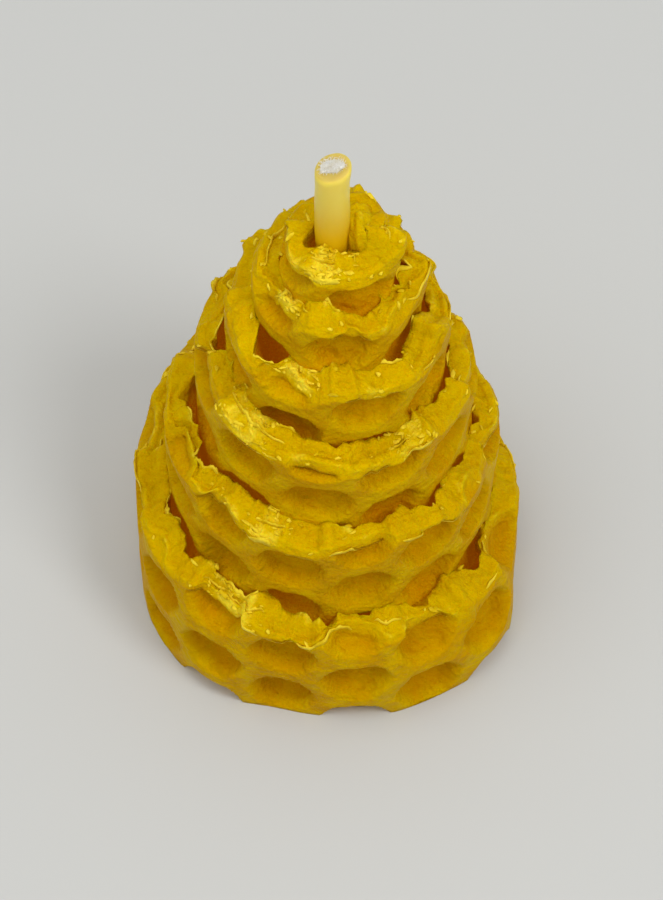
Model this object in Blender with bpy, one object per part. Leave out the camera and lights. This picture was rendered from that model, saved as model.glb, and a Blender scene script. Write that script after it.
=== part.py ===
"""Rolled beeswax candle: one strip of comb foundation rolled around a waxed, braided wick.

Units are metres, +Z is up, and the candle stands on z = 0 with its base centred on the origin.
The strip is first made as the flat blank it is cut from: u runs along the strip from the wick
outwards, w through its thickness and v up. Then it is rolled onto a spiral.
"""

import math

import bmesh
import bpy
from mathutils import Vector

MM = 0.001

# Comb foundation: hexagonal cells pressed into both faces, half a cell out of step.
CELL = 5.4 * MM                        # across the flats
SIDE = CELL / math.sqrt(3)             # side of a cell, and of the triangles between cell centres
FIRST_CENTRE_U = -0.48 * MM            # a cell centre of the outer face
FIRST_CENTRE_V = 2.5 * MM
RIDGE_AT_WICK = 0.50 * MM              # ridge height each side of the middle, pressed flat at the wick
RIDGE = 0.75 * MM                      # the same in the outer turns
FLOOR = 0.15 * MM                      # how far a cell's floor passes the middle of the sheet
PRESSED_TURNS = 3.5

# The blank is cut on a straight diagonal, high at the wick.
BLANK_HEIGHT = 41.3 * MM
CUT_SLOPE = 0.1265

# The roll: radius of the sheet's middle after n turns is START + PITCH n + GROWTH n^2.
TURNS = 6.25
START_ANGLE = math.radians(-20)
START = 1.78 * MM
PITCH = 1.514 * MM
GROWTH = 0.050 * MM
CENTRE_AT_WICK = Vector((0.25, 0.25)) * MM
CENTRE_AT_END = Vector((-0.85, -0.25)) * MM
FINE_STEP = math.radians(24)           # longest facet, as an angle about the wick

# Wick: a three-strand flat braid of cotton in a coat of wax.
WICK_TOP = 48.4 * MM
COAT_RADIUS = 1.15 * MM
BORE_RADIUS = 0.80 * MM
COAT_SIDES = 24
CUT_TILT = 0.28                        # slant of the trimmed end
LIP = 0.08 * MM
STRAND_RADIUS = 0.22 * MM
BRAID_WIDTH = 0.53 * MM
BRAID_DEPTH = 0.33 * MM
BRAID_LENGTH = 6.0 * MM                # one full weave of a strand
BRAID_POINTS = 10                      # points in that length
STRAND_FOOT = 0.3 * MM
STRAND_RECESS = 0.5 * MM               # the cotton ends this far below the lip's lowest point


def clear_scene():
    for old in list(bpy.data.objects):
        bpy.data.objects.remove(old)


def make_material(name, colour, roughness):
    material = bpy.data.materials.new(name)
    material.use_nodes = True
    shader = material.node_tree.nodes["Principled BSDF"]
    shader.inputs["Base Color"].default_value = (*colour, 1.0)
    shader.inputs["Roughness"].default_value = roughness
    shader.inputs["Metallic"].default_value = 0.0
    return material


def add_object(name, data, material, collection, parent):
    data.materials.append(material)
    piece = bpy.data.objects.new(name, data)
    collection.objects.link(piece)
    piece.parent = parent
    return piece


# --- The foundation sheet, flat ---------------------------------------------------------------

def strip_length():
    """Arc length of the rolled strip's middle line, from the wick to the outer end."""
    return arc_length(TURNS)


def arc_length(turns):
    return 2 * math.pi * (START * turns + PITCH * turns**2 / 2 + GROWTH * turns**3 / 3)


def corner_kind(i, j):
    """Lattice points are outer cell centres (0), inner cell centres (1) or shared corners (2)."""
    return (i - j) % 3


def lattice_heights(u, v, ridge):
    """Height of the outer and inner face at a point of the blank, linear over each triangle."""
    row = (v - FIRST_CENTRE_V) / (CELL / 2)
    column = (u - FIRST_CENTRE_U) / SIDE - row / 2
    i, j = math.floor(column), math.floor(row)
    a, b = column - i, row - j
    if a + b <= 1:
        corners = ((i, j, 1 - a - b), (i + 1, j, a), (i, j + 1, b))
    else:
        corners = ((i + 1, j + 1, a + b - 1), (i + 1, j, 1 - b), (i, j + 1, 1 - a))
    outer = inner = 0.0
    for p, q, weight in corners:
        kind = corner_kind(p, q)
        outer += weight * (-FLOOR if kind == 0 else ridge)
        inner += weight * (FLOOR if kind == 1 else -ridge)
    return outer, inner


def make_flat_lattice():
    """Equilateral triangles whose corners are the centres and corners of the pressed cells."""
    flat = bmesh.new()
    columns = math.ceil(strip_length() / SIDE) + 4
    rows = math.ceil(BLANK_HEIGHT / (CELL / 2)) + 3
    bmesh.ops.create_grid(flat, x_segments=columns, y_segments=rows, size=0.5)
    for vert in flat.verts:
        i = round((vert.co.x + 0.5) * columns)
        j = round((vert.co.y + 0.5) * rows) - 1
        u = FIRST_CENTRE_U + (i - 1 + 0.5 * (j % 2)) * SIDE
        vert.co = (u, 0.0, FIRST_CENTRE_V + j * CELL / 2)
    bmesh.ops.triangulate(flat, faces=flat.faces[:], quad_method="SHORT_EDGE")
    return flat


def slice_blank(flat, point, normal, remove=False):
    everything = flat.verts[:] + flat.edges[:] + flat.faces[:]
    bmesh.ops.bisect_plane(flat, geom=everything, dist=0.02 * MM, plane_co=point,
                           plane_no=normal, clear_outer=remove)


def trim_to_outline(flat):
    end = strip_length()
    slice_blank(flat, (0, 0, 0), (-1, 0, 0), remove=True)
    slice_blank(flat, (end, 0, 0), (1, 0, 0), remove=True)
    slice_blank(flat, (0, 0, 0), (0, 0, -1), remove=True)
    slice_blank(flat, (0, 0, BLANK_HEIGHT), (CUT_SLOPE, 0, 1), remove=True)


def add_bend_lines(flat):
    """Cross lines wherever a lattice triangle would span too much of a tight turn."""
    for index in range(1, math.ceil(4 * strip_length() / SIDE)):
        station = FIRST_CENTRE_U + index * SIDE / 4
        span = SIDE if index % 2 == 0 else SIDE / 2
        if station > 0 and span / roll_radius(turns_at(station)) > FINE_STEP:
            slice_blank(flat, (station, 0, 0), (1, 0, 0))


def ridge_height(turns):
    share = min(turns / PRESSED_TURNS, 1.0)
    return RIDGE_AT_WICK + (RIDGE - RIDGE_AT_WICK) * share


def thicken(flat):
    """Close the blank into a solid: the flat mesh becomes the inner face, its copy the outer."""
    inner_verts = flat.verts[:]
    grown = bmesh.ops.extrude_face_region(flat, geom=flat.faces[:], use_keep_orig=True)
    outer_verts = [item for item in grown["geom"] if isinstance(item, bmesh.types.BMVert)]
    for verts, side in ((inner_verts, 1), (outer_verts, 0)):
        for vert in verts:
            ridge = ridge_height(turns_at(vert.co.x))
            vert.co.y = lattice_heights(vert.co.x, vert.co.z, ridge)[side]


# --- The roll ---------------------------------------------------------------------------------

def turns_at(length):
    """Turns rolled so far when the strip has come this far, by Newton's method."""
    turns = TURNS * math.sqrt(max(length, 0.0) / strip_length())
    for _ in range(12):
        turns -= (arc_length(turns) - length) / (2 * math.pi * roll_radius(turns))
    return turns


def roll_radius(turns):
    return START + PITCH * turns + GROWTH * turns**2


def rolled_point(point):
    u, height, v = point
    turns = turns_at(u)
    angle = START_ANGLE + 2 * math.pi * turns
    centre = CENTRE_AT_WICK.lerp(CENTRE_AT_END, turns / TURNS)
    reach = roll_radius(turns) + height
    return Vector((centre.x + reach * math.cos(angle), centre.y + reach * math.sin(angle), v))


def make_foundation_sheet():
    blank = make_flat_lattice()
    trim_to_outline(blank)
    add_bend_lines(blank)
    bmesh.ops.remove_doubles(blank, verts=blank.verts[:], dist=0.03 * MM)
    bmesh.ops.triangulate(blank, faces=blank.faces[:])
    thicken(blank)
    for vert in blank.verts:
        vert.co = rolled_point(vert.co)
    bmesh.ops.recalc_face_normals(blank, faces=blank.faces[:])
    mesh = bpy.data.meshes.new("foundation_sheet")
    blank.to_mesh(mesh)
    blank.free()
    return mesh


# --- The wick ---------------------------------------------------------------------------------

def make_wick_coat():
    """A turned sleeve, open at both ends, whose top is trimmed on a slant."""
    sleeve = bmesh.new()
    profile = ((COAT_RADIUS, 0), (COAT_RADIUS, WICK_TOP - LIP), (COAT_RADIUS - LIP, WICK_TOP),
               (BORE_RADIUS, WICK_TOP), (BORE_RADIUS, 0))
    corners = [sleeve.verts.new((radius, 0, height)) for radius, height in profile]
    loop = [sleeve.edges.new((corners[k - 1], corners[k])) for k in range(len(corners))]
    bmesh.ops.spin(sleeve, geom=corners + loop, axis=(0, 0, 1), cent=(0, 0, 0),
                   angle=2 * math.pi, steps=COAT_SIDES)
    bmesh.ops.remove_doubles(sleeve, verts=sleeve.verts[:], dist=0.01 * MM)
    for vert in sleeve.verts:
        if vert.co.z > WICK_TOP / 2:
            vert.co.z += CUT_TILT * (vert.co.x - COAT_RADIUS)
    bmesh.ops.recalc_face_normals(sleeve, faces=sleeve.faces[:])
    mesh = bpy.data.meshes.new("wick_wax_coat")
    sleeve.to_mesh(mesh)
    sleeve.free()
    mesh.shade_smooth()
    mesh.set_sharp_from_angle(angle=math.radians(35))
    return mesh


def make_wick_strand(number):
    """One strand of the flat braid, as a curve that weaves over and under the other two."""
    curve = bpy.data.curves.new(f"wick_strand_{number}", "CURVE")
    curve.dimensions = "3D"
    curve.bevel_depth = STRAND_RADIUS
    curve.bevel_resolution = 1
    curve.use_fill_caps = True
    top = WICK_TOP - 2 * CUT_TILT * COAT_RADIUS - STRAND_RECESS
    steps = round((top - STRAND_FOOT) / BRAID_LENGTH * BRAID_POINTS)
    spline = curve.splines.new("POLY")
    spline.points.add(steps)
    for k, point in enumerate(spline.points):
        height = STRAND_FOOT + (top - STRAND_FOOT) * k / steps
        phase = 2 * math.pi * (height / BRAID_LENGTH + number / 3)
        point.co = (BRAID_WIDTH * math.sin(phase), BRAID_DEPTH * math.sin(2 * phase), height, 1)
    return curve


# --- Assembly ---------------------------------------------------------------------------------

def centre_on_base(assembly, pieces):
    """Move the whole candle sideways so that the middle of its box stands on the origin."""
    corners = [vert.co for piece in pieces if piece.type == "MESH" for vert in piece.data.vertices]
    for axis in (0, 1):
        values = [corner[axis] for corner in corners]
        assembly.location[axis] = -(min(values) + max(values)) / 2


def build_candle():
    clear_scene()
    collection = bpy.data.collections.new("rolled_beeswax_candle")
    bpy.context.scene.collection.children.link(collection)
    assembly = bpy.data.objects.new("candle_assembly", None)
    collection.objects.link(assembly)

    sheet_wax = make_material("foundation_beeswax", (0.468, 0.262, 0.002), 0.42)
    coat_wax = make_material("wick_wax", (0.70, 0.54, 0.07), 0.35)
    cotton = make_material("wick_cotton", (0.79, 0.74, 0.64), 0.95)

    pieces = [
        add_object("foundation_sheet", make_foundation_sheet(), sheet_wax, collection, assembly),
        add_object("wick_wax_coat", make_wick_coat(), coat_wax, collection, assembly),
    ]
    for number in (1, 2, 3):
        name = f"wick_strand_{number}"
        pieces.append(add_object(name, make_wick_strand(number), cotton, collection, assembly))
    centre_on_base(assembly, pieces)


build_candle()
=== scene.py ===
"""Looks for the rolled beeswax candle: the embossed, torn and bloomed wax with painted light, shade and
glow, the waxed wick, the stage.

Lengths are in metres. The strip is described as a flat blank (u along it from the wick, z up, w
through its thickness) and rolled onto the same spiral as the CAD solid, around the CAD's wick.
"""

import math

import bmesh
import bpy
import numpy as np
from mathutils import Euler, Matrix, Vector


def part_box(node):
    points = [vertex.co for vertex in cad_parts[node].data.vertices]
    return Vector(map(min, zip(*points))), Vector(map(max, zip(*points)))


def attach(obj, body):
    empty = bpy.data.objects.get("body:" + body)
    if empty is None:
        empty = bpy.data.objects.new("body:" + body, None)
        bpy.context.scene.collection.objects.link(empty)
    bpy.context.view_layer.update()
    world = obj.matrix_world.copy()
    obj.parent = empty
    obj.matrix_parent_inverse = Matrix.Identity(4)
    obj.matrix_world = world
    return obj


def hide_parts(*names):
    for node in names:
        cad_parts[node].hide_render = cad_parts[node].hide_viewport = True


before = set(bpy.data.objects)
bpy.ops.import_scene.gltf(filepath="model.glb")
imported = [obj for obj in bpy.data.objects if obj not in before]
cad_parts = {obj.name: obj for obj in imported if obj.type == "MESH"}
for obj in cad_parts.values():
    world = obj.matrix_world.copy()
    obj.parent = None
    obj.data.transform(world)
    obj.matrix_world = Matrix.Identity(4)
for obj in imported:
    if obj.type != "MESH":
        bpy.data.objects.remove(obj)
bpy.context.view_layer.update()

MM = 0.001

# --- The strip and its roll, as in the CAD model -----------------------------------------------

CELL = 5.4 * MM
SIDE = CELL / math.sqrt(3)
COLUMN = CELL * math.sqrt(3) / 2
FIRST_CENTRE_U = -0.48 * MM
FIRST_CENTRE_Z = 2.5 * MM
BLANK_HEIGHT = 41.3 * MM
CUT_SLOPE = 0.1265
TURNS = 6.25
START_ANGLE = math.radians(-20)
START = 1.78 * MM
PITCH = 1.514 * MM
GROWTH = 0.050 * MM
CENTRE_AT_WICK = np.array((0.25, 0.25)) * MM
CENTRE_AT_END = np.array((-0.85, -0.25)) * MM

wick_low, wick_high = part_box("wick_wax_coat")
WICK_AXIS = ((wick_low + wick_high) / 2).xy
WICK_RADIUS = (wick_high.x - wick_low.x) / 2


def radius_at(turns):
    return START + PITCH * turns + GROWTH * turns**2


def length_at(turns):
    return 2 * math.pi * (START * turns + PITCH * turns**2 / 2 + GROWTH * turns**3 / 3)


def turns_at(length):
    table = np.linspace(0, TURNS, 4001)
    return np.interp(length, length_at(table), table)


def path_centre(turns):
    share = np.asarray(turns)[..., None] / TURNS
    return CENTRE_AT_WICK + (CENTRE_AT_END - CENTRE_AT_WICK) * share


def wick_distance(turns):
    """How far the sheet's middle is from the wick's axis after so many turns."""
    angle = START_ANGLE + 2 * math.pi * turns
    centre = path_centre(turns)
    return radius_at(turns) + centre[..., 0] * np.cos(angle) + centre[..., 1] * np.sin(angle)


def passing(turn, angle):
    """Turns rolled when the given turn, counted from 1, passes an angle about the wick."""
    return turn - 1 + (angle - math.degrees(START_ANGLE)) / 360


def smooth(edge_low, edge_high, value):
    """0 at the first edge, 1 at the second one, with a soft start and end."""
    share = np.clip((value - edge_low) / (edge_high - edge_low), 0, 1)
    return share * share * (3 - 2 * share)


def bump(value, centre, width):
    """A smooth bump, 1 at its centre and 0 beyond its width on either side."""
    return smooth(1, 0, np.abs(value - centre) / width)


# --- Noise ------------------------------------------------------------------------------------

def lattice_noise(i, j, seed):
    mixed = (i * 374761393 + j * 668265263 + seed * 974634777) & 0xFFFFFFFF
    mixed = ((mixed ^ (mixed >> 13)) * 1274126177) & 0xFFFFFFFF
    mixed = ((mixed ^ (mixed >> 15)) * 2246822519) & 0xFFFFFFFF
    return ((mixed ^ (mixed >> 16)) & 0xFFFF) / 32767.5 - 1


def noise(x, y, seed):
    """Smooth value noise between -1 and 1, one feature per unit."""
    x, y = np.broadcast_arrays(np.asarray(x, float), np.asarray(y, float))
    i, j = np.floor(x).astype(np.int64), np.floor(y).astype(np.int64)
    a, b = x - i, y - j
    a, b = a * a * (3 - 2 * a), b * b * (3 - 2 * b)
    low = lattice_noise(i, j, seed) * (1 - a) + lattice_noise(i + 1, j, seed) * a
    high = lattice_noise(i, j + 1, seed) * (1 - a) + lattice_noise(i + 1, j + 1, seed) * a
    return low * (1 - b) + high * b


def rough(x, y, seed, octaves=3):
    """Noise with finer noise on top."""
    total = 0.0
    for octave in range(octaves):
        total = total + noise(x * 2**octave, y * 2**octave, seed + 17 * octave) / 2**octave
    return total / 1.75


def jagged(x, seed):
    """Broken straight lines between -1 and 1, with finer breaks on top."""
    total = 0.0
    for octave in range(3):
        place = np.asarray(x, float) * 2**octave
        i = np.floor(place).astype(np.int64)
        low, high = lattice_noise(i, 0, seed + octave), lattice_noise(i + 1, 0, seed + octave)
        total = total + (low + (high - low) * (place - i)) / 1.6**octave
    return total / 1.6


# --- The pressed cells --------------------------------------------------------------------------

FREE_CREST = 1.25 * MM                 # ridge height each side of the middle, where nothing presses
CREST_AT_WICK = 0.55 * MM
CONTACT = 0.01 * MM                    # what is left between the ridges of two turns
WEB = 0.30 * MM                        # thickness of the floor between the two faces
FACET_RISE = 0.60 * MM                 # the floor's three facets rise and fall this much
SINK = 0.25 * MM                       # the outer face is pressed deeper than the inner one
RIDGE_HALF_WIDTH = 0.58 * MM           # the flat top of a ridge
RIDGE_BLEND = 0.08 * MM                # how softly the flat top meets the wall
RIDGE_ROUNDING = 0.10 * MM
WALL_SLOPE = 4.6
BLEND = 0.09 * MM                      # how softly wall and floor meet
CELL_ROUNDING = 0.42                   # 0 is a hexagonal mouth, 1 a round one
# The pressing is stretched a little here and there: turns rolled, slip along and up the strip (mm)
SLIP_TURNS = (0.8, 1.8, 2.8, 3.8, 4.8)
SLIP_U = (0.0, 0.0, -1.0, 0.3, 0.5)
SLIP_Z = (-0.6, -0.6, 0.5, 0.3, -0.1)
WARP = 0.25 * MM                       # the cells are pulled this much out of their lattice
WARP_SIZE = 4 * MM
DENT = 0.08 * MM                       # broad dents from handling
DENT_SIZE = 2.6 * MM
SMEAR = 0.16 * MM                      # the warm wax of the inner turns is smeared by fingers
SMEAR_LENGTH = 1.2 * MM
SMEAR_HEIGHT = 1.6 * MM
WOBBLE = 0.04 * MM                     # small unevenness of both faces together
WOBBLE_SIZE = 1.5 * MM
FOOT_SQUASH = 0.45                     # the cells at the foot are pressed this much flatter
FOOT_HEIGHT = 1.6 * MM
PIT_DEPTH = 1.0 * MM                   # a cell this deep gets the full painted shade
LIP_DEPTH = 0.75 * MM                  # the blade pressed cells shut down to this depth below the cut
FUSED = 0.30 * MM                      # how far a rim is pressed into the turn inside it
FUSED_TWICE = (3.2, 2.6)               # turns over which that grows to double, towards the wick
FUSED_DEPTH = (1.6 * MM, 0.5 * MM)     # and depths over which it fades in, towards the rim
SMEARED = (3.6, 2.6)                   # turns over which the smearing fades in, towards the wick
GRIP_TURNS = (1.02, 0.86)              # the first turn grips the wick
GRIP_DEPTH = (4.5 * MM, 3.0 * MM)
GRIP_REACH = 1.9 * MM                  # how far it is pushed in to meet the wick
POCKET_ANGLE = 203                     # the pocket that it leaves, in degrees about the wick
POCKET_HALF_WIDTH = 30
FILL_START = (0.78, 0.86)              # wax fills the room in front of the wick between these turns
FILL_END = (1.22, 1.12)
FILL_TOP = (0.2 * MM, 0.6 * MM)        # and between these depths
FILL_FOOT = (4.5 * MM, 3.5 * MM)
FILL_REACH = 2.4 * MM
FOLD_TURNS = (0.32, 0.16)              # the start of the strip is folded over, so it is thicker
FOLD_DEPTH = (3.6 * MM, 2.6 * MM)
FOLD = 0.8 * MM


def nearest_centre(u, z, centre_u):
    """Offsets from the nearest cell centre of a face whose cells start at centre_u."""
    best = None
    for shift_u, shift_z in ((0, 0), (COLUMN, CELL / 2)):
        x = u - centre_u - shift_u
        y = z - FIRST_CENTRE_Z - shift_z
        x = x - np.round(x / (2 * COLUMN)) * 2 * COLUMN
        y = y - np.round(y / CELL) * CELL
        if best is None:
            best = x, y
        else:
            closer = x**2 + y**2 < best[0]**2 + best[1]**2
            best = np.where(closer, x, best[0]), np.where(closer, y, best[1])
    return best


def wall_distance(x, y):
    """Distance from the middle of the nearest ridge; the corners of a cell's mouth are rounded."""
    hexagon = np.maximum(np.abs(y), np.abs(x) * math.sqrt(3) / 2 + np.abs(y) / 2)
    from_centre = hexagon + (np.hypot(x, y) - hexagon) * CELL_ROUNDING
    return np.maximum(CELL / 2 - from_centre, 0)


def soft_max(a, b, blend):
    return (a + b + np.sqrt((a - b) ** 2 + blend**2)) / 2


def ridge_profile(distance, crest):
    beyond = soft_max(distance - RIDGE_HALF_WIDTH, 0, RIDGE_BLEND)
    fall = np.sqrt(beyond**2 + RIDGE_ROUNDING**2) - RIDGE_ROUNDING
    return crest - WALL_SLOPE * fall


def crests(turns):
    """Ridge heights of the outer and inner face, so that neighbouring turns just touch."""
    here = wick_distance(turns)
    outside = (wick_distance(turns + 1) - here) / 2 - CONTACT
    last_turn = smooth(TURNS - 1.05, TURNS - 0.95, turns)
    outer = np.minimum(outside * (1 - last_turn) + FREE_CREST * last_turn, FREE_CREST)
    inside = (here - wick_distance(turns - 1)) / 2 - CONTACT
    first_turn = smooth(1.1, 0.9, turns)
    at_wick = np.minimum(here - WICK_RADIUS - CONTACT, CREST_AT_WICK)
    inner = np.minimum(inside * (1 - first_turn) + at_wick * first_turn, FREE_CREST)
    return outer, inner


def pressed_cells(u, z, turns):
    """Heights of both faces as the sheet left the press, measured outward and inward."""
    slip_u = np.interp(turns, SLIP_TURNS, SLIP_U) * MM
    slip_z = np.interp(turns, SLIP_TURNS, SLIP_Z) * MM
    warp_u = u - slip_u + WARP * rough(u / WARP_SIZE, z / WARP_SIZE, 3)
    warp_z = z - slip_z + WARP * rough(u / WARP_SIZE, z / WARP_SIZE, 5)
    crest_out, crest_in = crests(turns)
    x, y = nearest_centre(warp_u, warp_z, FIRST_CENTRE_U)
    towards = np.maximum(-x, x / 2 + math.sqrt(3) / 2 * np.abs(y))
    middle = FACET_RISE * (2 * towards / SIDE - 1) - SINK
    outer = soft_max(middle + WEB / 2, ridge_profile(wall_distance(x, y), crest_out), BLEND)
    outer = outer + (crest_out * 0.9 - outer) * FOOT_SQUASH * smooth(FOOT_HEIGHT, 0, z)
    x, y = nearest_centre(warp_u, warp_z, FIRST_CENTRE_U - SIDE)
    inner = soft_max(WEB / 2 - middle, ridge_profile(wall_distance(x, y), crest_in), BLEND)
    return outer, inner


def seal_lip(outer, inner, u, depth, turns):
    """Just below the cut, the blade has pressed some of the cells shut."""
    crest_out, crest_in = crests(turns)
    uneven_depth = depth + 0.3 * MM * rough(u / (1.3 * MM), 7.5, 13)
    sealed = smooth(LIP_DEPTH * 1.2, LIP_DEPTH * 0.7, uneven_depth)
    sealed = sealed * np.clip(0.4 + 0.7 * noise(u / (4.5 * MM), 8.5, 15), 0.05, 0.9)
    return outer + (crest_out - outer) * sealed, inner + (crest_in - inner) * sealed


def press_onto_wick(outer, inner, depth, turns):
    """The first turn is squeezed onto the wick, except for a pocket on the left."""
    room = wick_distance(turns) - WICK_RADIUS - CONTACT
    pocket = bump(turns, passing(1, POCKET_ANGLE), POCKET_HALF_WIDTH / 360)
    gripped = smooth(*GRIP_TURNS, turns) * (1 - pocket) * smooth(*GRIP_DEPTH, depth)
    inner = inner + (np.clip(room, 0, GRIP_REACH) - inner) * gripped
    filled = smooth(*FILL_START, turns) * smooth(*FILL_END, turns)
    filled = filled * smooth(*FILL_TOP, depth) * smooth(*FILL_FOOT, depth)
    inner = inner + (np.clip(room, 0, FILL_REACH) - inner) * filled
    folded = smooth(*FOLD_TURNS, turns) * smooth(*FOLD_DEPTH, depth)
    return outer + (crests(turns)[0] + FOLD - outer) * folded, inner


def press_onto_turn(inner, depth, turns):
    """Every later turn is pressed onto the one inside it along its rim, except where it is loose."""
    pressed = smooth(0.9, 1.0, turns) * (1 - looseness(turns)) * smooth(*FUSED_DEPTH, depth)
    apart = rim_push(turns)[0] - rim_push(np.maximum(turns - 1, 0))[0]
    return inner + (FUSED * (1 + smooth(*FUSED_TWICE, turns)) + np.maximum(apart, 0)) * pressed


def faces_of_sheet(u, z, depth, turns):
    """Where the outer and inner face lie across the sheet, and how deep in a cell each point is."""
    outer, inner = pressed_cells(u, z, turns)
    outer, inner = seal_lip(outer, inner, u, depth, turns)
    outer, inner = press_onto_wick(outer, inner, depth, turns)
    inner = press_onto_turn(inner, depth, turns)
    # how deep in a cell each point is, by which the cells get their painted shade
    pit_shade = np.clip((crests(turns)[0] - outer) / PIT_DEPTH, 0, 1)
    dents = DENT * rough(u / DENT_SIZE, z / DENT_SIZE, 7)
    dents = dents + SMEAR * smooth(*SMEARED, turns) * rough(u / SMEAR_LENGTH, z / SMEAR_HEIGHT, 9)
    wobble = WOBBLE * rough(u / WOBBLE_SIZE, z / WOBBLE_SIZE, 11)
    return outer - dents * 0.6 + wobble, -inner + dents * 0.3 - wobble, pit_shade


# --- The cut edge and the loose places of the roll -----------------------------------------------

# Places where the rim leans or the wall bulges: the turn, the angle about the wick and the half
# width in degrees, then the outward push of the rim, that of the foot and the lift of the rim in mm
NUDGES = (
    (1, 90, 70, 0.0, 0.0, 1.0),
    (1, 270, 40, -0.3, 0.0, 0.0),
    (1, 342, 28, 0.55, 0.0, 0.7),
    (2, -5, 30, 0.6, 0.0, 1.2),
    (2, 85, 60, 0.3, 0.0, 1.2),
    (3, 22, 42, 1.2, 0.2, 0.8),
    (3, 150, 50, 0.0, 0.0, 0.4),
    (3, 226, 26, 0.3, 0.0, 0.0),
    (3, 320, 20, 0.35, 0.0, 0.0),
    (4, -14, 13, 0.2, 0.0, 1.2),
    (4, 12, 40, 0.9, 0.2, 0.2),
    (4, 270, 24, 0.35, 0.0, 0.0),
    (5, 5, 34, 0.9, 0.3, 0.3),
    (5, 25, 30, -0.3, 0.3, 0.0),
    (5, 204, 20, 0.2, 0.0, 0.0),
    (5, 318, 16, 0.2, 0.0, 0.0),
    (6, -13, 13, -0.4, 0.0, -0.6),
    (6, 5, 40, 0.3, 0.3, 0.0),
    (6, 8, 16, 0.45, 0.3, 0.0),
    (6, 40, 24, 0.3, 0.0, 0.0),
    (6, 205, 22, 0.25, 0.2, 0.0),
    (6, 225, 40, 0.0, 0.5, 0.0),
    (6, 238, 20, 0.1, 0.5, 0.0),
    (6, 282, 36, 0.1, 0.4, 0.0),
    (6, 290, 24, 0.0, 0.45, 0.0),
    (6, 322, 34, 0.2, 1.5, 0.0),
)

# Places where a rim stands clear of the turn inside it: the turn, the angle and the half width
LOOSE = (
    (3, -12, 5), (3, 226, 22), (3, 320, 17), (4, 268, 20), (5, 203, 15), (5, 262, 6),
    (5, 318, 10), (6, 203, 19), (6, 246, 6), (6, 285, 5), (6, 330, 7),
)

# Places where the blade tore the wax to crumbs: the turn, the angle and the half width
CRUMBLY = (
    (1, 255, 26), (4, 228, 20), (4, 312, 13), (3, 250, 16), (6, 240, 13), (5, 250, 9), (2, 225, 20),
)


def looseness(turns):
    loose = np.zeros_like(turns)
    for turn, angle, half_width in LOOSE:
        loose = np.maximum(loose, bump(turns, passing(turn, angle), half_width / 360))
    return loose


def crumbliness(turns):
    crumbly = np.zeros_like(turns)
    for turn, angle, half_width in CRUMBLY:
        crumbly = np.maximum(crumbly, bump(turns, passing(turn, angle), half_width / 360))
    return np.minimum(crumbly * 1.5, 1)


def rim_push(turns):
    """Outward push of the rim and of the foot, and lift of the rim."""
    pushes = np.zeros((3, *turns.shape))
    for turn, angle, half_width, *amounts in NUDGES:
        near = bump(turns, passing(turn, angle), half_width / 360)
        for push, amount in zip(pushes, amounts):
            push += amount * MM * near
    return pushes


def rim_height(u, turns):
    """The diagonal cut, uneven where it was sliced through ridges and pressed by hand."""
    wave = 0.36 * rough(u / (4.2 * MM), 0.5, 21, 2) + 0.28 * jagged(u / (1.3 * MM), 23)
    torn = smooth(0.25, 0.45, noise(u / (2.6 * MM), 5.5, 27)) * 0.5
    cut = BLANK_HEIGHT - CUT_SLOPE * u
    outer, inner, _ = faces_of_sheet(u, cut, np.full_like(u, 2 * MM), turns)
    thin = np.clip(1 - (outer - inner) / sum(crests(turns)), 0, 1)
    return cut + (wave - torn - 0.9 * thin + 0.35) * MM + rim_push(turns)[2]


# --- Building the sheet ---------------------------------------------------------------------------

STATIONS = 1340                        # rings of vertices along the strip
DENSE_ROWS = 38                        # rows of the outer face where it can be seen
COARSE_ROWS = 8                        # and where the next turn hides it
OVERLOOK = 1.6 * MM                    # how far below the next turn's rim the dense rows go
RIM_ROWS = 8                           # rows across the cut
INNER_DENSE_ROWS = 10
INNER_COARSE_ROWS = 6
INNER_DEPTH = 4.0 * MM                 # how far down the inner face the dense rows go
END_ROUNDING = 0.7 * MM                # the two ends of the strip are rounded
BURR = 0.14 * MM                       # height of the torn edges left by the blade
BURR_REACH = 0.45 * MM                 # how far down the faces they spread
RAGGED = 0.28 * MM                     # how far the inner edge of the cut wanders
BITE = 0.55 * MM                       # depth of the pieces broken out of it
OUTER_JAG = 0.12 * MM                  # how far the outer edge wanders
GROOVE = 0.34 * MM                     # depth of the groove that runs along parts of the cut
SHOULDER = 0.32 * MM                   # how far the outer edge of the cut is rounded back
SHOULDER_DEPTH = 0.8 * MM
RIM_TILT = 0.30 * MM                   # the outer edge of the cut lies this much lower
TILT_HALF_WIDTH = 0.8 * MM
TILT_DEPTH = 1.2 * MM
LEAN_DEPTH = 5.0 * MM                  # a leaning rim bends over this height
WANDER = 0.20 * MM                     # how far a turn strays from the spiral
WANDER_SIZE = 7 * MM
FLAT_FOOT = 0.3 * MM                   # nothing below this height is tilted, so the candle stands flat
BEHIND = (-0.8 * MM, 0.9 * MM)         # painted glow on the outer face where it dips behind the next turn's rim
WITHIN = (0.5 * MM, 1.8 * MM)          # and on the inner face from these depths


def edge_burr(u, seed):
    """Height of the torn edge left by the blade: low in places, a thin standing flake in others."""
    standing = smooth(0.0, 0.7, noise(u / (1.9 * MM), 0.5, seed))
    ragged = 0.7 + 0.9 * rough(u / (0.55 * MM), 2.5, seed + 3, 2)
    return BURR * (0.25 + 1.5 * standing) * np.maximum(ragged, 0)


def row_depths(height, dense, coarse, reach):
    """Depth below the rim of each row, for strips of every height: fine above, coarse below."""
    near = np.minimum(reach, height * dense / (dense + coarse))
    share = np.linspace(0, 1, dense + 1)
    fine = (0.55 * share + 0.45 * share**2)[None, :] * near[:, None]
    rest = np.linspace(0, 1, coarse + 1)[1:][None, :] * (height - near)[:, None] + near[:, None]
    return np.concatenate([fine, rest], axis=1)


def strip_stations():
    total = float(length_at(TURNS))
    share = np.linspace(0, 1, STATIONS)
    return total * (0.86 * share + 0.14 * share**2)


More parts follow.
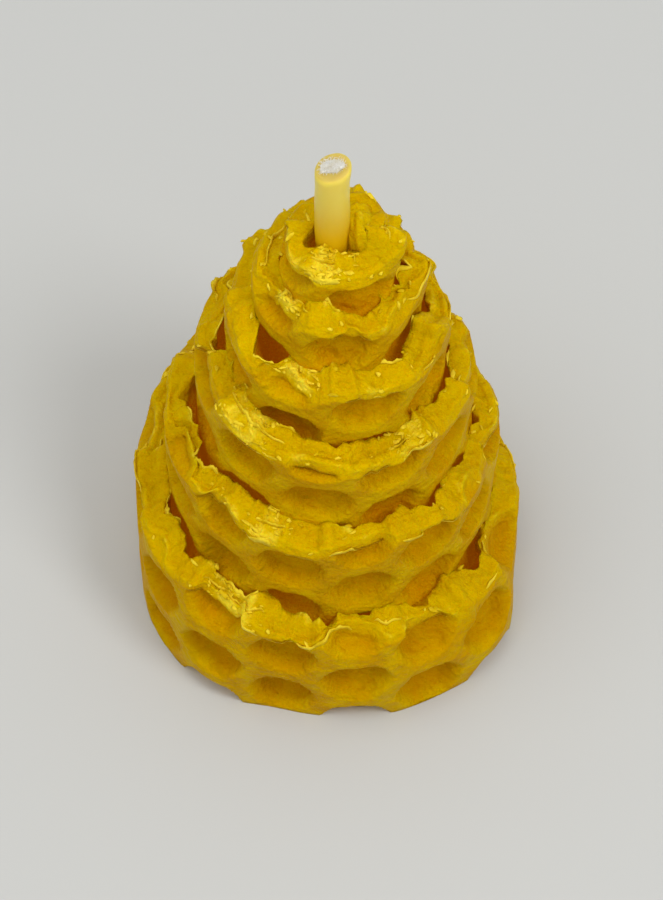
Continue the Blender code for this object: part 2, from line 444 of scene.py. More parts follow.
def break_outer_edge(u, w, depth):
    """The outer edge of the cut is rounded back and wanders a little."""
    jag = (OUTER_JAG * jagged(u / (1.5 * MM), 59))[:, None]
    return w - SHOULDER * smooth(SHOULDER_DEPTH, 0, depth) ** 2 + jag * smooth(1.0 * MM, 0, depth)


def break_inner_edge(u, turns, w, depth):
    """The inner edge is ragged, most of all where the rim stands clear, and has bites out of it."""
    ragged = RAGGED * (1 + 1.3 * looseness(turns)) * jagged(u / (1.3 * MM), 55)
    bites = BITE * smooth(0.25, 0.45, noise(u / (1.7 * MM), 6.5, 57))
    return w + (ragged + bites)[:, None] * smooth(0.9 * MM, 0, depth)


def cut_surface(u, turns, top, across, burr_out, burr_in):
    """Height of the cut from its outer edge, across = 0, to its inner one, across = 1."""
    height = top + burr_out * (1 - across) ** 4 + burr_in * across**4
    roughness = (0.22 + 0.30 * crumbliness(turns)[:, None]) * MM
    height = height + roughness * rough(u / (0.7 * MM), across * 3, 33) * np.sin(across * math.pi)
    groove = GROOVE * smooth(-0.2, 0.5, noise(u / (5 * MM), 0.5, 37))
    return height - groove * bump(across, 0.42 + 0.12 * noise(u / (2 * MM), 1.5, 39), 0.3)


def painted_gap_glow(turns, outer_depth, inner_depth, hidden):
    """How much painted glow each face gets in the gaps; the next turn hides the outer face below a depth.
    """
    inside_a_turn = smooth(TURNS - 0.98, TURNS - 1.02, turns)[:, None]
    return smooth(*BEHIND, outer_depth - hidden) * inside_a_turn, smooth(*WITHIN, inner_depth)


def sheet_rings():
    """Every ring of vertices round the strip's cross-section, on the flat blank, with what is
    painted on them: up the outer face, across the cut, down the inner face."""
    u = strip_stations()
    turns = turns_at(u)
    top = rim_height(u, turns)
    hidden = CUT_SLOPE * (length_at(turns + 1) - u)
    outer_depth = row_depths(top, DENSE_ROWS, COARSE_ROWS, hidden + OVERLOOK)[:, ::-1]
    inner_depth = row_depths(top, INNER_DENSE_ROWS, INNER_COARSE_ROWS, INNER_DEPTH)
    across = np.linspace(0, 1, RIM_ROWS + 2)[1:-1][None, :]
    u_column, top_column, hidden_column = u[:, None], top[:, None], hidden[:, None]

    ends = np.minimum(u, u[-1] - u)
    taper = np.sqrt(np.clip(1 - (1 - np.clip(ends / END_ROUNDING, 0, 1)) ** 2, 0.02, 1))[:, None]

    def face(depth, number):
        """Height, w and pit of one face, drawn in at the strip's ends; number is 0 outside, 1 inside."""
        z = top_column - depth
        *sides, pit_shade = faces_of_sheet(u_column, z, depth, turns[:, None])
        middle = sum(sides) / 2
        return z, middle + (sides[number] - middle) * taper, pit_shade

    outer_z, outer_w, outer_pit_shade = face(outer_depth, 0)
    inner_z, inner_w, _ = face(inner_depth, 1)
    burr_out, burr_in = edge_burr(u, 51)[:, None], edge_burr(u, 61)[:, None]
    torn_out = burr_out * smooth(BURR_REACH, 0, outer_depth)
    torn_in = burr_in * smooth(BURR_REACH, 0, inner_depth)
    outer_w = break_outer_edge(u, outer_w, outer_depth) + 0.7 * torn_out
    inner_w = break_inner_edge(u, turns, inner_w, inner_depth) - 0.5 * torn_in
    outer_z, inner_z = outer_z + torn_out, inner_z + torn_in
    rim_w = outer_w[:, -1:] + (inner_w[:, :1] - outer_w[:, -1:]) * across
    rim_w = rim_w + 0.08 * MM * rough(u_column / (0.9 * MM), across * 3, 35)
    rim_z = cut_surface(u_column, turns, top_column, across, burr_out, burr_in)
    rim_crumbs = np.maximum(burr_out * (1 - across) ** 2, burr_in * across**2)
    # painted glow: the faces in the gaps between turns give out light
    painted_glow_out, painted_glow_in = painted_gap_glow(turns, outer_depth, inner_depth, hidden_column)

    w = np.concatenate([outer_w, rim_w, inner_w], axis=1)
    z = np.concatenate([outer_z, rim_z, inner_z], axis=1)
    depth = np.maximum(top_column - z, 0)
    tilt = RIM_TILT * np.clip(w / TILT_HALF_WIDTH, -1, 1) * smooth(TILT_DEPTH, 0, depth)
    z = np.where(z > FLAT_FOOT, z - tilt, z)
    pit_shade = np.concatenate([outer_pit_shade, np.zeros_like(rim_w), np.zeros_like(inner_w)], axis=1)
    crumbly = np.concatenate([torn_out, rim_crumbs, torn_in], axis=1) / BURR
    painted_glow = np.concatenate([painted_glow_out, np.zeros_like(rim_w), painted_glow_in], axis=1)
    return turns, w, z, depth, {"pit_shade": pit_shade, "crumbly": crumbly, "painted_glow": painted_glow}


def roll(turns, w, z):
    angle = START_ANGLE + 2 * math.pi * turns
    centre = path_centre(turns)
    reach = radius_at(turns)[:, None] + w
    x = WICK_AXIS.x + centre[:, :1] + reach * np.cos(angle)[:, None]
    y = WICK_AXIS.y + centre[:, 1:] + reach * np.sin(angle)[:, None]
    return np.stack([x, y, z], axis=2)


def ring_faces(rings, around):
    """Quads joining each closed ring of vertices to the next, and a cap on either end."""
    i = np.arange(rings - 1)[:, None]
    j = np.arange(around)[None, :]
    k = (j + 1) % around
    quads = np.stack([i * around + j, (i + 1) * around + j, (i + 1) * around + k,
                      i * around + k], axis=2).reshape(-1, 4).tolist()
    last = (rings - 1) * around
    return quads + [list(range(around)), list(range(last + around - 1, last - 1, -1))]


def mesh_object(name, points, faces, material):
    mesh = bpy.data.meshes.new(name)
    mesh.from_pydata(points.reshape(-1, 3).tolist(), [], faces)
    mesh.update()
    mesh.shade_smooth()
    mesh.materials.append(material)
    piece = bpy.data.objects.new(name, mesh)
    bpy.context.scene.collection.objects.link(piece)
    return piece


def paint(piece, name, values):
    layer = piece.data.attributes.new(name, "FLOAT", "POINT")
    layer.data.foreach_set("value", np.asarray(values, np.float32).ravel())


def make_sheet(material):
    turns, w, z, depth, painted = sheet_rings()
    rim_out, foot_out, _ = rim_push(turns)
    lean = smooth(LEAN_DEPTH, 0, depth)
    push = foot_out[:, None] + (rim_out - foot_out)[:, None] * lean
    wander = WANDER * rough(strip_stations() / WANDER_SIZE, 0.5, 41, 2)[:, None]
    points = roll(turns, w + push + wander, z)
    piece = mesh_object("wax_sheet", points, ring_faces(*w.shape), material)
    crumbs = crumbliness(turns)[:, None] * smooth(1.2 * MM, 0.5 * MM, depth)
    # painted light on the top of each rim, with the real bloom of the torn places
    top_light_and_bloom = 0.42 * smooth(1.2 * MM, 0.2 * MM, depth) + 0.3 * np.clip(painted["crumbly"], 0, 1)
    paint(piece, "top_light_and_bloom", top_light_and_bloom + 0.35 * crumbs)
    paint(piece, "pit_shade", painted["pit_shade"])
    paint(piece, "painted_glow", painted["painted_glow"])
    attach(piece, "root")
    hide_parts("foundation_sheet")
    return points


# --- Flakes and crumbs of wax -----------------------------------------------------------------------

RIBBON_STATIONS = 2900                 # rings of vertices along each ribbon of flakes
FLAKE_HEIGHT = 0.34 * MM
FLAKE_HALF_THICKNESS = 0.085 * MM
FLAKE_SINK = 0.25 * MM                 # a ribbon dives into the wax where no flake stands
LOOSE_CRUMBS = 260                     # crumbs spread along the whole cut
TORN_CRUMBS = 2.4                      # crumbs for each degree of a torn place's half width
LUMP_SIZE = np.array((1.15, 1.6, 2.1)) * MM     # half sizes
LUMP_REACH = 2.0 * MM                  # from the wick's axis
LUMP_ANGLE = math.radians(15)
LUMP_HEIGHT = 39.9 * MM


def edge_ribbon(points, row, outward, seed, verts, faces):
    """A ribbon of thin ragged flakes standing along one row of the sheet, next to the cut."""
    share = np.linspace(0, 1, RIBBON_STATIONS)
    index = share * (len(points) - 1)
    u = np.interp(index, np.arange(len(points)), strip_stations())
    wandering = row + 1.6 * noise(u / (3.5 * MM), 0.5, seed + 11)
    at, lower = index.astype(int), np.floor(wandering).astype(int)
    at = np.minimum(at, len(points) - 2)
    a, b = (index - at)[:, None], (wandering - lower)[:, None]
    edge = ((points[at, lower] * (1 - a) + points[at + 1, lower] * a) * (1 - b)
            + (points[at, lower + 1] * (1 - a) + points[at + 1, lower + 1] * a) * b)
    along = np.gradient(edge, axis=0)
    side = np.stack([along[:, 1], -along[:, 0], np.zeros(len(u))], axis=1)
    side = outward * side / np.linalg.norm(side, axis=1, keepdims=True)
    up = np.array((0.0, 0.0, 1.0))

    crumbly = crumbliness(turns_at(u))
    stands = smooth(0.25, 0.50, noise(u / (1.9 * MM), 0.5, seed) + 0.5 * crumbly)
    spikes = np.minimum(0.4 + 1.2 * np.abs(jagged(u / (0.7 * MM), seed + 3)) + 0.4 * crumbly, 1.4)
    height = (FLAKE_HEIGHT * stands * spikes)[:, None]
    lean = (0.2 + 0.7 * noise(u / (1.3 * MM), 4.5, seed + 7))[:, None]
    rise = up + side * lean
    thick = side * FLAKE_HALF_THICKNESS * stands[:, None]
    edge = edge - up * FLAKE_SINK * (1 - stands[:, None])
    foot = edge - up * 0.10 * MM
    ring = np.stack([foot + thick, edge + rise * height * 0.5 + thick * 0.7, edge + rise * height,
                     edge + rise * height * 0.5 - thick * 0.7, foot - thick], axis=1)
    first = len(verts)
    verts.extend(ring.reshape(-1, 3).tolist())
    faces.extend([[first + corner for corner in face] for face in ring_faces(len(u), 5)])


def make_burrs(points, material):
    verts, faces = [], []
    outer_row = DENSE_ROWS + COARSE_ROWS
    inner_row = outer_row + RIM_ROWS + 1
    edge_ribbon(points, outer_row - 3, 1, 81, verts, faces)
    edge_ribbon(points, inner_row, -1, 91, verts, faces)
    edge_ribbon(points, outer_row + RIM_ROWS // 2, 1, 101, verts, faces)
    piece = mesh_object("wax_burrs", np.array(verts), faces, material)
    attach(piece, "root")


def unit_sphere(subdivisions):
    """Vertices and triangles of a round ball of radius 1."""
    ball = bmesh.new()
    bmesh.ops.create_icosphere(ball, subdivisions=subdivisions, radius=1)
    vertices = np.array([vert.co for vert in ball.verts])
    triangles = np.array([[vert.index for vert in face.verts] for face in ball.faces])
    ball.free()
    return vertices, triangles


def make_crumbs(points, material):
    """Flakes of wax lying on the cut edge, thickest where the blade tore it."""
    chance = np.random.default_rng(7)
    rim = np.arange(DENSE_ROWS + COARSE_ROWS - 3, DENSE_ROWS + COARSE_ROWS + RIM_ROWS + 3)
    spots = [(chance.uniform(0.1, TURNS - 0.05), chance.choice(rim), 1.0) for _ in range(LOOSE_CRUMBS)]
    for turn, angle, half_width in CRUMBLY:
        for _ in range(int(half_width * TORN_CRUMBS)):
            offset = chance.uniform(-0.8, 0.8) * half_width / 360
            spots.append((passing(turn, angle) + offset, chance.choice(rim), chance.uniform(0.5, 1.3)))
    sphere, triangles = unit_sphere(2)
    x, y, z = sphere.T
    stations = turns_at(strip_stations())
    verts, faces = [], []
    for turns, row, scale in spots:
        station = int(np.clip(np.searchsorted(stations, turns), 1, STATIONS - 2))
        along = Vector(points[station + 1, row] - points[station - 1, row]).normalized()
        turned = along.to_track_quat("X", "Z").to_matrix() @ Euler(chance.normal(0, 0.5, 3)).to_matrix()
        size = [chance.uniform(0.14, 0.42), chance.uniform(0.08, 0.17), chance.uniform(0.04, 0.08)]
        swell = 1 + 0.75 * rough(x * 1.9 + z, y * 1.9 - z, int(chance.integers(1000)), 3)
        shape = sphere * np.array(size) * swell[:, None] * scale * MM
        faces.extend((triangles + len(verts)).tolist())
        verts.extend((shape @ np.array(turned).T + points[station, row]).tolist())
    piece = mesh_object("wax_crumbs", np.array(verts), faces, material)
    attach(piece, "root")


def make_lump(material):
    """The folded start of the strip, pressed against the right side of the wick."""
    sphere, triangles = unit_sphere(5)
    x, y, z = sphere.T
    folds = 0.30 * rough(x * 1.6 + 0.7 * z, y * 1.6 - 0.7 * z, 131)
    shape = sphere * (1 + folds + 0.05 * rough(x * 6 + z * 4, y * 6, 133))[:, None] * LUMP_SIZE
    shape[:, 2] = np.where(shape[:, 2] > 0, shape[:, 2] - 0.5 * shape[:, 0], shape[:, 2])
    place = np.array((WICK_AXIS.x + LUMP_REACH * math.cos(LUMP_ANGLE),
                      WICK_AXIS.y + LUMP_REACH * math.sin(LUMP_ANGLE), LUMP_HEIGHT))
    piece = mesh_object("wax_lump", shape + place, triangles.tolist(), material)
    # painted light on the top of the lump
    paint(piece, "top_light_and_bloom", 0.5 * smooth(0.5, 0.9, z) + 0.25)
    paint(piece, "pit_shade", np.zeros(len(x)))
    paint(piece, "painted_glow", np.zeros(len(x)))
    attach(piece, "root")


# --- The wick -------------------------------------------------------------------------------------

COAT_SIDES = 56
COAT_RINGS = 90
COAT_LIP = 0.16 * MM                   # rounding of the coat's trimmed end
CUT_TILT = 0.28                        # slant of the trimmed end, as in the CAD model
FLARE = 0.09 * MM                      # the trimmed end is squeezed a little wider
FLARE_DEPTH = 1.6 * MM
BRAID_WIDTH = 0.53 * MM                # how far a strand swings across the wick, and through it
BRAID_DEPTH = 0.33 * MM
BRAID_LENGTH = 6.0 * MM
STRAND_FOOT = 0.3 * MM                 # height of the strands' lower ends
YARNS = 12                             # in each strand
YARN_RADIUS = 0.105 * MM
FIBRES = 260                           # loose ones, standing out of the trimmed end
FIBRE_RADIUS = 0.011 * MM
FIBRE_LENGTH = 0.5 * MM
FIBRE_POINTS = 8
MOUTH_X = 0.80 * MM                    # half sizes of the opening that the cotton shows in
MOUTH_Y = 0.52 * MM
MOUTH_OFFSET = 0.14 * MM               # the wax has rounded over the front of the cut
SPLAY_DEPTH = 1.3 * MM                 # the yarns leave their braid this far below the trimmed end
YARN_RING = 0.16 * MM                  # the yarns lie this far from the middle of their strand
YARN_TWIST = 2.6 * MM                  # one turn of a yarn round its strand


def cut_height(x):
    """Height of the slanted end at a point this far from the wick's axis."""
    return wick_high.z + CUT_TILT * (x - WICK_RADIUS)


def make_coat(material):
    around = np.linspace(0, 2 * math.pi, COAT_SIDES, endpoint=False)[None, :]
    rise = np.linspace(0, 1, COAT_RINGS)[:, None]
    rise = rise * (1.35 - 0.35 * rise)
    lip = np.linspace(0, 1, 9)[1:, None]

    wavy = 0.035 * MM * rough(rise * 30, np.cos(around) * 1.5 + 3, 71)
    wavy = wavy + 0.02 * MM * np.sin(2 * around + rise * 44)
    below = (1 - rise) * wick_high.z
    flare = FLARE * smooth(FLARE_DEPTH, 0.5 * MM, below) * (0.6 + 0.6 * np.cos(around - 0.3))
    outer_r = np.minimum(WICK_RADIUS + wavy + flare - 0.03 * MM, WICK_RADIUS + 0.08 * MM)
    outer_z = rise * (cut_height(outer_r * np.cos(around)) - COAT_LIP)

    collar = bump(around, 1.75 * math.pi, 0.9) * bump(below, 1.05 * MM, 0.16 * MM) * 0.07 * MM
    outer_r = outer_r + collar
    outer_x, outer_y = outer_r * np.cos(around), outer_r * np.sin(around)
    edge_x, edge_y = outer_x[-1:], outer_y[-1:]
    uneven = 1 + 0.06 * np.cos(3 * around + 1) + 0.04 * np.cos(5 * around)
    mouth_x, mouth_y = MOUTH_X * uneven * np.cos(around), MOUTH_OFFSET + MOUTH_Y * uneven * np.sin(around)
    lip_x, lip_y = edge_x + (mouth_x - edge_x) * lip, edge_y + (mouth_y - edge_y) * lip
    dome = COAT_LIP * np.sin(np.minimum(lip * 2.2, 1) * math.pi / 2) - 0.05 * MM * lip**2
    lip_z = cut_height(lip_x) - COAT_LIP + dome
    lip_z = lip_z + 0.05 * MM * rough(around * 3, lip * 3, 75)
    inside_x, inside_y = np.repeat(mouth_x, 2, axis=0), np.repeat(mouth_y, 2, axis=0)
    inside_z = np.concatenate([lip_z[-1:] - 0.8 * MM, np.zeros_like(mouth_x)], axis=0)
    inside_z[0] = np.minimum(inside_z[0], cut_height(0) - 1.0 * MM)

    across = np.concatenate([outer_x, lip_x, inside_x], axis=0)
    deep = np.concatenate([outer_y, lip_y, inside_y], axis=0)
    height = np.concatenate([outer_z, lip_z, inside_z], axis=0)
    points = np.stack([WICK_AXIS.x + across, WICK_AXIS.y + deep, height], axis=2)
    piece = mesh_object("wax_coat", points, tube_faces(*height.shape), material)
    on_lip = np.concatenate([np.zeros(COAT_RINGS), smooth(0, 0.3, lip[:, 0]), np.ones(2)])
    paint(piece, "lip", np.repeat(on_lip[:, None], COAT_SIDES, axis=1))
    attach(piece, "root")
    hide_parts("wick_wax_coat")


def tube_faces(rings, around):
    """Quads of a sleeve whose last ring meets its first, so the sleeve is closed."""
    i = np.arange(rings)[:, None]
    j = np.arange(around)[None, :]
    k, n = (j + 1) % around, (i + 1) % rings
    return np.stack([i * around + j, i * around + k, n * around + k,
                     n * around + j], axis=2).reshape(-1, 4).tolist()


def thread_object(name, radius, threads, material):
    """Thin round threads in one piece; each thread is a list of points about the wick's axis."""
    curve = bpy.data.curves.new(name, "CURVE")
    curve.dimensions = "3D"
    curve.bevel_depth = radius
    curve.bevel_resolution = 1
    curve.use_fill_caps = True
    for thread in threads:
        spline = curve.splines.new("POLY")
        spline.points.add(len(thread) - 1)
        for point, (x, y, z) in zip(spline.points, thread):
            point.co = (WICK_AXIS.x + x, WICK_AXIS.y + y, z, 1)
    curve.materials.append(material)
    piece = bpy.data.objects.new(name, curve)
    bpy.context.scene.collection.objects.link(piece)
    return piece


def make_strand(number, material):
    """One strand of the braid: yarns twisted together, cut off level with the wax."""
    yarns = []
    chance = np.random.default_rng(number)
    for yarn in range(YARNS):
        slot = 3 * yarn + number - 1
        slot_angle = slot * math.pi * (3 - math.sqrt(5))
        slot_reach = 0.92 * math.sqrt((slot + 0.5) / (3 * YARNS))
        end = (slot_reach * MOUTH_X * math.cos(slot_angle),
               MOUTH_OFFSET + slot_reach * MOUTH_Y * math.sin(slot_angle))
        tip = cut_height(end[0]) + chance.uniform(-0.12, 0.0) * MM
        heights = STRAND_FOOT + (tip - STRAND_FOOT) * np.linspace(0, 1, 190)
        weave = 2 * math.pi * (heights / BRAID_LENGTH + number / 3)
        twist = 2 * math.pi * (heights / YARN_TWIST + yarn / 7)
        ring = YARN_RING * (1.0 if yarn < 7 else 0.45)
        splay = smooth(tip - SPLAY_DEPTH, tip - 0.25 * MM, heights)
        x = (BRAID_WIDTH * np.sin(weave) + ring * np.cos(twist)) * (1 - splay) + end[0] * splay
        y = (BRAID_DEPTH * np.sin(2 * weave) + ring * np.sin(twist)) * (1 - splay) + end[1] * splay
        yarns.append(list(zip(x, y, heights)))
    piece = thread_object(f"cotton_strand_{number}", YARN_RADIUS, yarns, material)
    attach(piece, "root")
    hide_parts(f"wick_strand_{number}")


def make_fuzz(material):
    """Loose fibres standing out of the trimmed end, over a pad of matted cotton."""
    fibres = []
    chance = np.random.default_rng(11)
    for _ in range(FIBRES):
        reach, angle = math.sqrt(chance.uniform(0, 0.9)), chance.uniform(0, 2 * math.pi)
        place = np.array((reach * MOUTH_X * math.cos(angle),
                          MOUTH_OFFSET + reach * MOUTH_Y * math.sin(angle), 0.0))
        place[2] = cut_height(place[0]) - 0.12 * MM
        heading = chance.uniform(0, 2 * math.pi)
        bend = chance.normal(0, 0.5)
        fibre = []
        for k in range(FIBRE_POINTS):
            step = FIBRE_LENGTH * chance.uniform(0.7, 1.2) / (FIBRE_POINTS - 1)
            flat = min(1.0, k / 3)
            heading += bend / 3
            fibre.append(place)
            way = np.array((math.cos(heading) * flat, math.sin(heading) * flat, 1 - 0.95 * flat))
            place = place + step * way
        fibres.append(fibre)
    piece = thread_object("cotton_fuzz", FIBRE_RADIUS, fibres, material)
    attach(piece, "root")


def make_pad(material):
    """Matted cotton between the yarn ends: a low, lumpy dome just under the trimmed end."""
    rings, around = 14, 40
    share = np.linspace(0, 1, rings)[:, None]
    angle = np.linspace(0, 2 * math.pi, around, endpoint=False)[None, :]
    reach = np.concatenate([share, np.ones((1, 1))]) * np.ones_like(angle)
    x = reach * MOUTH_X * 1.04 * np.cos(angle)
    y = MOUTH_OFFSET + reach * MOUTH_Y * 1.04 * np.sin(angle)
    lumps = 0.05 * MM * rough(x / (0.16 * MM), y / (0.16 * MM), 77)
    top = cut_height(x) - 0.06 * MM - 0.06 * MM * reach**2 + lumps
    top[-1] -= 0.5 * MM
    points = np.stack([WICK_AXIS.x + x, WICK_AXIS.y + y, top], axis=2)
    piece = mesh_object("cotton_pad", points, ring_faces(rings + 1, around), material)
    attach(piece, "root")


# --- Materials ------------------------------------------------------------------------------------

def new_material(name):
    material = bpy.data.materials.new(name)
    material.use_nodes = True
    return material, material.node_tree, material.node_tree.nodes["Principled BSDF"]


def noise_node(tree, scale, detail=3.0, roughness=0.55):
    coordinates = tree.nodes.new("ShaderNodeTexCoord")
    texture = tree.nodes.new("ShaderNodeTexNoise")
    texture.inputs["Scale"].default_value = scale
    texture.inputs["Detail"].default_value = detail
    texture.inputs["Roughness"].default_value = roughness
    tree.links.new(coordinates.outputs["Object"], texture.inputs["Vector"])
    return texture.outputs["Fac"]


def ramp_node(tree, source, low, high):
    ramp = tree.nodes.new("ShaderNodeMapRange")
    ramp.interpolation_type = "SMOOTHSTEP"
    ramp.inputs["From Min"].default_value = low
    ramp.inputs["From Max"].default_value = high
    tree.links.new(source, ramp.inputs["Value"])
    return ramp.outputs["Result"]


def mix_colours(tree, factor, first, second):
    mix = tree.nodes.new("ShaderNodeMix")
    mix.data_type = "RGBA"
    tree.links.new(factor, mix.inputs["Factor"])
    for socket, colour in ((mix.inputs["A"], first), (mix.inputs["B"], second)):
        if isinstance(colour, tuple):
            socket.default_value = (*colour, 1)
        else:
            tree.links.new(colour, socket)
    return mix.outputs["Result"]


def math_node(tree, operation, first, second):
    node = tree.nodes.new("ShaderNodeMath")
    node.operation = operation
    for socket, value in ((node.inputs[0], first), (node.inputs[1], second)):
        if isinstance(value, (int, float)):
            socket.default_value = value
        else:
            tree.links.new(value, socket)
    return node.outputs["Value"]


def attribute_node(tree, name):
    node = tree.nodes.new("ShaderNodeAttribute")
    node.attribute_name = name
    return node.outputs["Fac"]


def bump_node(tree, height, distance, strength):
    node = tree.nodes.new("ShaderNodeBump")
    node.inputs["Distance"].default_value = distance
    node.inputs["Strength"].default_value = strength
    tree.links.new(height, node.inputs["Height"])
    return node.outputs["Normal"]


# Colours are linear, and the scales of the noise textures are features per metre
GOLD = (0.585, 0.312, 0.000)
GOLD_LIGHT = (0.63, 0.388, 0.000)
GOLD_PIT_SHADE = (0.53, 0.215, 0.000)       # painted shade in the cells, darkest at their bottoms
RIM_LIGHT = (0.68, 0.45, 0.000)              # painted light on the top of each rim, near the cut; the flakes use it too
BLOOM_AND_HIGHLIGHT = (0.92, 0.70, 0.03)             # torn and bloomed wax, and the painted highlight of the flakes
PAINTED_GLOW = 0.085                           # painted glow that brightens the gaps, in place of light carried through the wax
PAINTED_GLOW_COLOUR = (1.0, 0.28, 0.0)
COAT_LOW = (0.82, 0.47, 0.000)         # the coat is darker where it meets the roll
COAT_HIGH = (0.90, 0.68, 0.10)
COAT_END_SHADE = (0.66, 0.48, 0.10)          # painted shade on the trimmed end, which faces up to the lamps
COAT_SHADE = (0.0405, 0.0470)          # heights between which its colour changes
COTTON_SHADE = (0.80, 0.76, 0.64)
COTTON_LIGHT = (0.93, 0.92, 0.88)


def wax_material():
    material, tree, shader = new_material("beeswax")
    broad = ramp_node(tree, noise_node(tree, 420, 4), 0.38, 0.64)
    colour = mix_colours(tree, broad, GOLD, GOLD_LIGHT)
    # painted shade: the cells are darkened and reddened by their depth
    deep = math_node(tree, "MULTIPLY", ramp_node(tree, attribute_node(tree, "pit_shade"), 0.2, 1.0), 0.4)
    colour = mix_colours(tree, deep, colour, GOLD_PIT_SHADE)
    # painted light makes the rims paler; the torn places are paler bloomed wax
    top_light_and_bloom = attribute_node(tree, "top_light_and_bloom")
    grain = math_node(tree, "ADD", noise_node(tree, 1300, 4), noise_node(tree, 380, 2))
    edge = math_node(tree, "MULTIPLY", top_light_and_bloom, grain)
    colour = mix_colours(tree, ramp_node(tree, edge, 0.10, 0.75), colour, RIM_LIGHT)
    colour = mix_colours(tree, ramp_node(tree, edge, 0.62, 1.0), colour, BLOOM_AND_HIGHLIGHT)
    tree.links.new(colour, shader.inputs["Base Color"])
    shader.inputs["Subsurface Weight"].default_value = 0.4
    shader.inputs["Subsurface Radius"].default_value = (1.0, 0.60, 0.08)
    shader.inputs["Subsurface Scale"].default_value = 0.0006
    shader.inputs["Roughness"].default_value = 0.45
    shader.inputs["Specular IOR Level"].default_value = 0.03
    shader.inputs["Metallic"].default_value = 0.08
    shader.inputs["Specular Tint"].default_value = (1.0, 0.75, 0.03, 1)
    # painted glow: the gaps give out warm light in place of light carried through the wax
    shader.inputs["Emission Color"].default_value = (*PAINTED_GLOW_COLOUR, 1)
    painted_glow = math_node(tree, "MULTIPLY", attribute_node(tree, "painted_glow"), PAINTED_GLOW)
    tree.links.new(painted_glow, shader.inputs["Emission Strength"])
    broad_dents = math_node(tree, "MULTIPLY", noise_node(tree, 750, 3), 2.2)
    dents = math_node(tree, "ADD", noise_node(tree, 2200, 3), broad_dents)
    tree.links.new(bump_node(tree, dents, 0.0003, 0.75), shader.inputs["Normal"])
    return material


def flake_material():
    """Thin torn wax, paler than the bulk because it is full of tiny cracks, and painted paler still as a
    highlight along the cut edges.
    """
    material, tree, shader = new_material("wax_flakes")
    # painted highlight: the flakes are coloured pale along the cut edges
    colour = mix_colours(tree, ramp_node(tree, noise_node(tree, 900, 3), 0.35, 0.62), RIM_LIGHT, BLOOM_AND_HIGHLIGHT)
    tree.links.new(colour, shader.inputs["Base Color"])
    shader.inputs["Roughness"].default_value = 0.5
    shader.inputs["Specular IOR Level"].default_value = 0.3
    shader.inputs["Specular Tint"].default_value = (1.0, 0.85, 0.2, 1)
    tree.links.new(bump_node(tree, noise_node(tree, 2600, 3), 0.0001, 0.5), shader.inputs["Normal"])
    return material


def coat_material():
    material, tree, shader = new_material("wick_wax")
    coordinates = tree.nodes.new("ShaderNodeTexCoord")
    split = tree.nodes.new("ShaderNodeSeparateXYZ")
    tree.links.new(coordinates.outputs["Object"], split.inputs["Vector"])
    colour = mix_colours(tree, ramp_node(tree, split.outputs["Z"], *COAT_SHADE), COAT_LOW, COAT_HIGH)
    # painted shade on the trimmed end
    colour = mix_colours(tree, attribute_node(tree, "lip"), colour, COAT_END_SHADE)
    tree.links.new(colour, shader.inputs["Base Color"])
    shader.inputs["Subsurface Weight"].default_value = 0.5
    shader.inputs["Subsurface Radius"].default_value = (1.0, 0.8, 0.3)
    shader.inputs["Subsurface Scale"].default_value = 0.0012
    shader.inputs["Roughness"].default_value = 0.38
    shader.inputs["Specular IOR Level"].default_value = 0.2
    tree.links.new(bump_node(tree, noise_node(tree, 900, 3), 0.0001, 0.4), shader.inputs["Normal"])
    return material


def cotton_material():
    material, tree, shader = new_material("wick_cotton")
    colour = mix_colours(tree, ramp_node(tree, noise_node(tree, 2600, 3), 0.3, 0.7),
                         COTTON_SHADE, COTTON_LIGHT)
    tree.links.new(colour, shader.inputs["Base Color"])
    shader.inputs["Roughness"].default_value = 0.9
    shader.inputs["Sheen Weight"].default_value = 0.3
    tree.links.new(bump_node(tree, noise_node(tree, 5000, 2), 0.0001, 0.6), shader.inputs["Normal"])
    return material


# --- Stage ----------------------------------------------------------------------------------------

CAMERA_DISTANCE = 0.322
CAMERA_ELEVATION = math.radians(59.5)
CAMERA_AIM = Vector((0.00024, 0, 0.0134))
LENS = 123.893                         # mm, on a sensor of this height
SENSOR = 24
FLOOR_COLOUR = (0.595, 0.60, 0.585)
FLOOR_HALF = 0.6
AIM_OF_LIGHTS = (0, 0, 0.02)


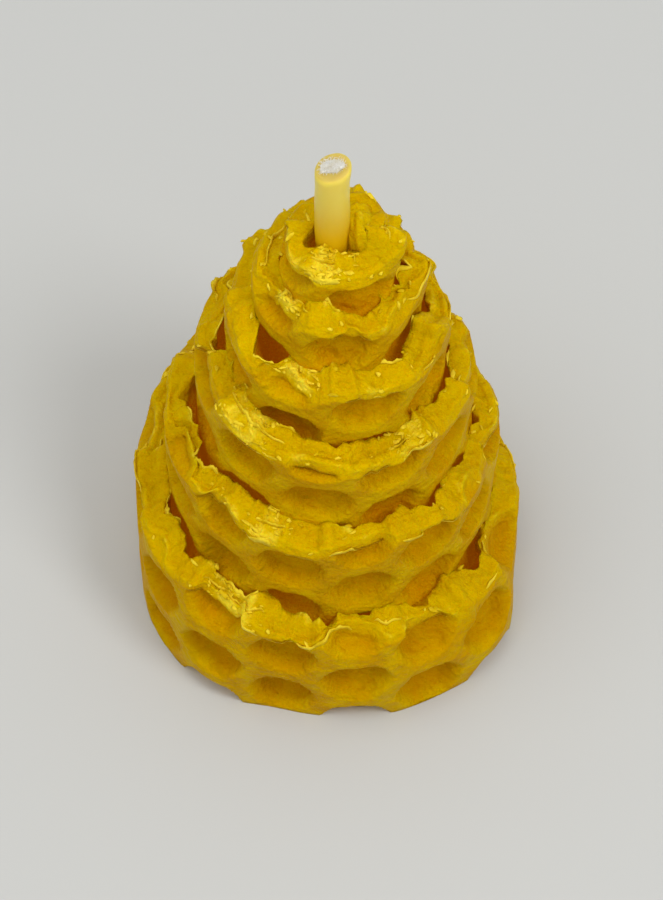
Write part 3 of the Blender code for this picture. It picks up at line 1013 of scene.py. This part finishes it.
def make_camera():
    data = bpy.data.cameras.new("camera")
    data.sensor_fit = "VERTICAL"
    data.sensor_height = SENSOR
    data.lens = LENS
    data.clip_start = 0.01
    camera = bpy.data.objects.new("camera", data)
    back = Vector((0, -math.cos(CAMERA_ELEVATION), math.sin(CAMERA_ELEVATION)))
    camera.location = CAMERA_AIM + back * CAMERA_DISTANCE
    camera.rotation_euler = (math.pi / 2 - CAMERA_ELEVATION, 0, 0)
    bpy.context.scene.collection.objects.link(camera)
    bpy.context.scene.camera = camera


def make_floor():
    mesh = bpy.data.meshes.new("floor")
    corners = ((-1, -1), (1, -1), (1, 1), (-1, 1))
    mesh.from_pydata([(x * FLOOR_HALF, y * FLOOR_HALF, 0) for x, y in corners], [], [(0, 1, 2, 3)])
    material, _, shader = new_material("floor")
    shader.inputs["Base Color"].default_value = (*FLOOR_COLOUR, 1)
    shader.inputs["Roughness"].default_value = 0.6
    mesh.materials.append(material)
    floor = bpy.data.objects.new("floor", mesh)
    bpy.context.scene.collection.objects.link(floor)


def area_light(name, location, size, power):
    data = bpy.data.lights.new(name, "AREA")
    data.shape = "DISK"
    data.size = size
    data.energy = power
    light = bpy.data.objects.new(name, data)
    light.location = location
    light.rotation_euler = (Vector(AIM_OF_LIGHTS) - light.location).to_track_quat("-Z", "Y").to_euler()
    bpy.context.scene.collection.objects.link(light)


def make_lights():
    world = bpy.data.worlds.new("studio")
    world.use_nodes = True
    background = world.node_tree.nodes["Background"]
    background.inputs["Color"].default_value = (1, 1, 0.985, 1)
    background.inputs["Strength"].default_value = 0.60
    bpy.context.scene.world = world
    area_light("key", (0.15, -0.12, 0.33), size=0.12, power=0.42)
    area_light("fill", (-0.12, -0.05, 0.38), size=0.30, power=0.40)


make_camera()
make_floor()
make_lights()
bpy.context.scene.view_settings.view_transform = "Standard"

wax = wax_material()
rim_points = make_sheet(wax)
make_lump(wax)
flakes = flake_material()
make_burrs(rim_points, flakes)
make_crumbs(rim_points, flakes)
make_coat(coat_material())
cotton = cotton_material()
for strand_number in (1, 2, 3):
    make_strand(strand_number, cotton)
make_pad(cotton)
make_fuzz(cotton)
